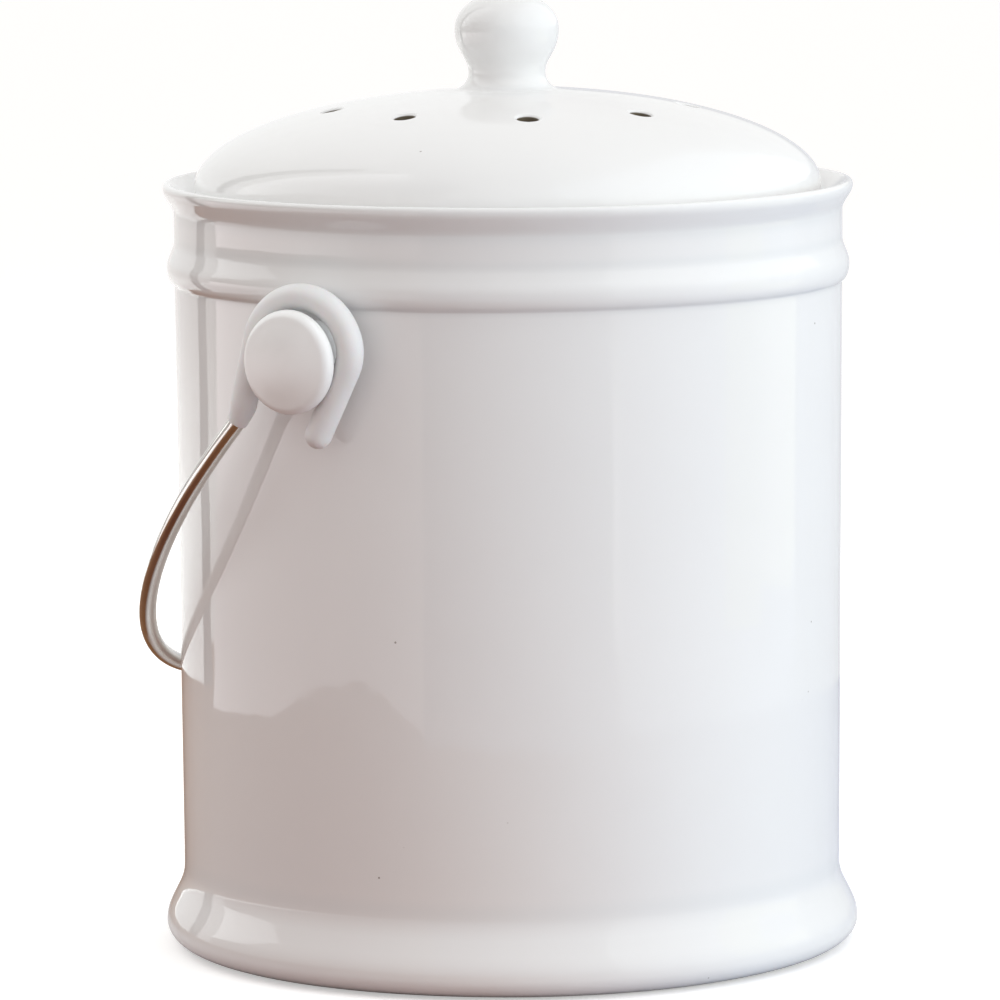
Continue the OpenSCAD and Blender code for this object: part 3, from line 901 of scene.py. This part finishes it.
# the pad is a disc of carbon-filled felt, a little crowned, with a soft edge
padR, padLow, padTop = trayIn - f["padGap"], low + f["trayWall"], low + f["trayWall"] + f["pad"] - 0.05
padEdge, padUnder, padOver, padCrown = f["padEdge"], f["padUnder"], f["padOver"], f["padCrown"]
padRings = np.arange(0, padR - 3, f["padStep"])
padLine = [(r, padLow) for r in padRings]
padLine += arcPoints((padR - padEdge, padLow + padUnder), padEdge, padUnder, -90, 0, 6)
padLine += arcPoints((padR - padEdge, padTop - padCrown - padOver), padEdge, padOver, 0, 90, 6)
padLine += [(r, padTop - padCrown * (r / padR) ** 2) for r in padRings[::-1]]
charcoalPad = turnedPiece(padLine, "charcoalPad", f["padStepsRound"], charcoalFelt,
                          f["padWaviness"], f["padWaveSize"])
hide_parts("filter_pad")
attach(charcoalPad, "tray_body")


# floor, light and camera
studio = {
    "floorColour": (0.80, 0.80, 0.80, 1), "floorLift": 0.40, "sky": (0.755, 0.725, 0.705, 1),
    "wood": (0.23, 0.10, 0.038), "woodCore": (0.115, 0.03, 0.009), "paleTable": (0.54, 0.56, 0.65),
    "woodNear": (0.34, 0.165, 0.13), "woodFar": (0.13, 0.10, 0.09), "woodRed": (0.17, 0.045, 0.03),
    "mat": (0.79, 0.78, 0.80),      # a pale mat right under the crock
}
view = {
    "place": (-1.49295, -0.99192, 0.34534),
    "forward": (0.82546, 0.55013, -0.12637), "up": (0.10895, 0.06439, 0.99196),
    "focal": 6826.8 / 1000 * 36,
}


def seenDirectly(tree):
    # 1 for the camera, a mirror or a clear body, and 0 for the light that falls on the object
    ray = node(tree, "ShaderNodeLightPath").outputs
    return maths(tree, "MAXIMUM", ray["Is Camera Ray"],
                 maths(tree, "MAXIMUM", ray["Is Glossy Ray"], ray["Is Transmission Ray"]))


floorCorners = [(-20, -20, 0), (20, -20, 0), (20, 20, 0), (-20, 20, 0)]
floor = linked("floor", meshFrom(floorCorners, [(0, 1, 2, 3)], "floor"))
floorPaint, paint = newPaint("floorPaint")
floorShader = paint.nodes["Principled BSDF"]
floorShader.inputs["Base Color"].default_value = studio["floorColour"]
floorShader.inputs["Roughness"].default_value = 0.9
floorShader.inputs["Specular IOR Level"].default_value = 0.1
floorShader.inputs["Emission Color"].default_value = (1, 1, 1, 1)
lift = maths(paint, "MULTIPLY", seenDirectly(paint), studio["floorLift"])
paint.links.new(lift, floorShader.inputs["Emission Strength"])
floor.data.materials.append(floorPaint)


def facing(theta, distance, height):
    # a place round the crock, counted in degrees from the camera's side towards its right hand
    toCamera = Vector((view["place"][0], view["place"][1], 0)).normalized()
    toRight = Vector((-toCamera.y, toCamera.x, 0))
    way = toCamera * math.cos(math.radians(theta)) + toRight * math.sin(math.radians(theta))
    return way * distance + Vector((0, 0, height))


boxAim = Vector((0, 0, 0.12))      # the lamps point at the middle of the crock


def softbox(name, theta, distance, height, width, tall, power, colour=(1, 1, 1)):
    lamp = bpy.data.lights.new(name, "AREA")
    lamp.shape, lamp.size, lamp.size_y, lamp.energy, lamp.color = "RECTANGLE", width, tall, power, colour
    made = linked(name, lamp)
    made.location = facing(theta, distance, height)
    made.rotation_euler = (boxAim - made.location).to_track_quat("-Z", "Y").to_euler()
    made.visible_camera = made.visible_glossy = False      # the cards below are what the gloss sees


softbox("windowBox", 92, 0.66, 0.375, 0.42, 0.72, 0.15)
softbox("lowFill", 60, 1.2, 0.30, 0.6, 0.4, 3.7, (0.80, 0.98, 1.0))
softbox("sideFill", 50, 1.3, 0.75, 1.0, 0.8, 3.1, (0.95, 0.93, 1.0))
softbox("topBox", 60, 0.5, 1.3, 0.55, 0.55, 2.0, (0.80, 0.94, 1.0))
softbox("backLeft", -135, 1.2, 0.75, 0.7, 0.7, 5.0, (0.92, 0.99, 0.97))
softbox("leftFill", -98, 1.2, 0.55, 0.35, 0.35, 1.3, (0.86, 0.96, 1.0))


def gridFaces(rows, columns):
    return [(k * columns + i, k * columns + i + 1, (k + 1) * columns + i + 1, (k + 1) * columns + i)
            for k in range(rows - 1) for i in range(columns - 1)]


def card(name, start, end, colour, *rows):
    # a bent sheet standing or lying round the crock that only the gloss sees; each row is (reach in metres,
    # height in millimetres, strength), and any of the three may be a list of (turn, value)
    across = 60
    turns = np.linspace(start, end, across)
    points, glows = [], []
    for row in rows:
        reach, height, strength = (
            np.interp(turns, *zip(*v)) if isinstance(v, list) else [v] * across for v in row)
        points += [tuple(facing(t, r, z * mm)) for t, r, z in zip(turns, reach, height)]
        glows += list(strength)
    mesh = bpy.data.meshes.new(name)
    mesh.from_pydata(points, [], gridFaces(len(rows), across))
    addValues(mesh, "glow", glows)
    paint, tree = newPaint(name + "Paint")
    strength = node(tree, "ShaderNodeAttribute", attribute_name="glow").outputs["Fac"]
    glow = node(tree, "ShaderNodeEmission", {"Color": colour, "Strength": strength}).outputs[0]
    tree.links.new(glow, tree.nodes["Material Output"].inputs["Surface"])
    mesh.materials.append(paint)
    made = linked(name, mesh)
    made.visible_camera = made.visible_diffuse = made.visible_shadow = made.visible_transmission = False


# on the left a sunlit floor, the dark far side of the room with a high window over it, and a door frame
sunEdge = [(-117.2, 0.455), (-84, 0.466), (-71, 0.521), (-52, 0.58), (-40, 0.536), (-27, 0.47)]
sunNear = [(-117.2, 1.45), (-75, 1.4), (-48, 1.0), (-27, 0.95)]
sunFar = [(-117.2, 2.3), (-75, 2.2), (-48, 1.1), (-27, 0.95)]
sill = [(-117.2, 366), (-99, 718), (-87, 1240), (-66, 1570), (-37, 2020), (-27, 2243)]
card("sunlitFloor", -117.2, -27, (1.0, 0.94, 0.95, 1), (sunEdge, 0.8, sunNear), (0.93, 0.8, sunNear),
     (1.15, 0.8, sunFar), (2.4, 0.8, sunFar))
card("farRoom", -117.2, -27, (0.55, 0.52, 0.51, 1), (2.4, 0, 1), (2.4, sill, 1))
panes = [(-117.2, 2.1), (-90, 1.5), (-70, 1.0), (-50, 0.75), (-27, 0.52)]
card("highWindow", -117.2, -27, (0.98, 0.99, 1.0, 1), (2.4, sill, panes), (2.4, 7000, panes))
card("doorFrame", -125.3, -118.4, (0.10, 0.09, 0.09, 1), (0.50, 0, 1), (0.50, 1100, 1))
# the room in front
card("roomLeft", -26.8, 32.2, (0.46, 0.48, 0.54, 1), (0.46, 0, 1),
     (0.46, [(-26.8, 450), (19, 440), (32.2, 420)], 1))
card("roomRight", 34, 107, (0.94, 0.98, 1.06, 1), (0.47, 0, 1),
     (0.47, [(34, 420), (39, 380), (47, 330), (54, 290), (72, 262), (107, 250)], 1))
# on the right a window with a bright pane, the pale wall behind it and the sky over all of them
card("windowShade", 72.3, 88.5, (1.12, 1.14, 0.92, 1), (0.463, 29, 1), (0.463, 250, 1))
card("windowLight", 88.5, 107, (1.0, 0.99, 0.84, 1), (0.46, [(88.5, 42), (104, 40), (107, 52)], 1.3),
     (0.46, 133, 1.3))
card("paleWall", 107.2, 178, (0.73, 0.74, 0.77, 1), (0.47, 0, 1), (0.47, 265, 1))
card("openSky", 22, 150, (0.93, 0.96, 1.0, 1), (0.80, 200, 1.38),
     (0.80, [(22, 1500), (31, 1780), (57, 2480), (89, 2600), (120, 2000), (139, 1470), (150, 1050)], 1.38))


def blend(a, b, share):
    share = min(1.0, max(0.0, share))
    return tuple(x + (y - x) * share for x, y in zip(a, b))


def tableTop(name, start, end, reachAt, colourAt, height):
    # a flat polar patch on the table that lamps pass through and the camera doesn't see
    turns, steps = np.linspace(start, end, 61), 16
    points, colours = [], []
    for turn in turns:
        for k in range(steps + 1):
            out = reachAt(turn) * (k / steps) ** 1.3
            points.append(tuple(facing(turn, out, height)))
            colours += [*colourAt(turn, out), 1.0]
    mesh = bpy.data.meshes.new(name)
    mesh.from_pydata(points, [], gridFaces(len(turns), steps + 1))
    tints = mesh.attributes.new("tint", "FLOAT_COLOR", "POINT")
    tints.data.foreach_set("color", np.array(colours, np.float32))
    paint, tree = newPaint(name + "Paint")
    shader = tree.nodes["Principled BSDF"]
    shader.inputs["Roughness"].default_value, shader.inputs["Specular IOR Level"].default_value = 0.7, 0.25
    tint = node(tree, "ShaderNodeAttribute", attribute_name="tint").outputs["Color"]
    tree.links.new(tint, shader.inputs["Base Color"])
    through = node(tree, "ShaderNodeBsdfTransparent").outputs[0]
    oneSided = node(tree, "ShaderNodeMixShader", {0: node(tree, "ShaderNodeNewGeometry").outputs["Backfacing"],
                                                  1: shader.outputs[0], 2: through}).outputs[0]
    tree.links.new(oneSided, tree.nodes["Material Output"].inputs["Surface"])
    mesh.materials.append(paint)
    made = linked(name, mesh)
    made.visible_camera = made.visible_shadow = made.visible_transmission = False
    return made


def woodShown(turn, out):
    core = math.exp(-((turn + 66) / 40) ** 2 - ((out - 0.20) / 0.13) ** 2)
    wood = blend(blend(studio["wood"], studio["woodCore"], core), studio["paleTable"], turn / 60)
    return blend(studio["mat"], wood, (out - 0.107) / 0.012)


def woodBounce(turn, out):
    near = blend(studio["woodNear"], studio["woodFar"], (out - 0.30) / 0.25)
    near = blend(near, studio["woodRed"], math.exp(-((turn + 50) / 38) ** 2 - ((out - 0.165) / 0.055) ** 2))
    near = blend(studio["mat"], near, (out - 0.090) / 0.018)
    return blend(near, studio["paleTable"], (turn + 4) / 46)


# a warm wooden table: one sheet for the gloss, and a wider one for the light thrown up from it
shine = tableTop("tableShine", -179, 179, lambda t: 0.50 if t < -124 else 0.60, woodShown, 0.0004)
bounce = tableTop("tableBounce", -179.5, 180, lambda t: 1.6, woodBounce, 0.0006)
shine.visible_diffuse = bounce.visible_glossy = False

world = bpy.data.worlds.new("studioWorld")
bpy.context.scene.world = world
world.use_nodes = True
sky = world.node_tree
background = sky.nodes["Background"]
sky.links.new(mixColour(sky, seenDirectly(sky), studio["sky"], (1, 1, 1, 1)), background.inputs["Color"])

camera = bpy.data.cameras.new("camera")
camera.lens, camera.sensor_width, camera.sensor_fit = view["focal"], 36, "HORIZONTAL"
camera.clip_start, camera.clip_end = 0.01, 100
cameraObject = linked("camera", camera)
back, up = -Vector(view["forward"]).normalized(), Vector(view["up"]).normalized()
right = up.cross(back).normalized()
up = back.cross(right)
cameraObject.matrix_world = Matrix.Translation(view["place"]) @ Matrix((right, up, back)).transposed().to_4x4()
bpy.context.scene.camera = cameraObject
bpy.context.scene.view_settings.view_transform = "Standard"
print("studio set")
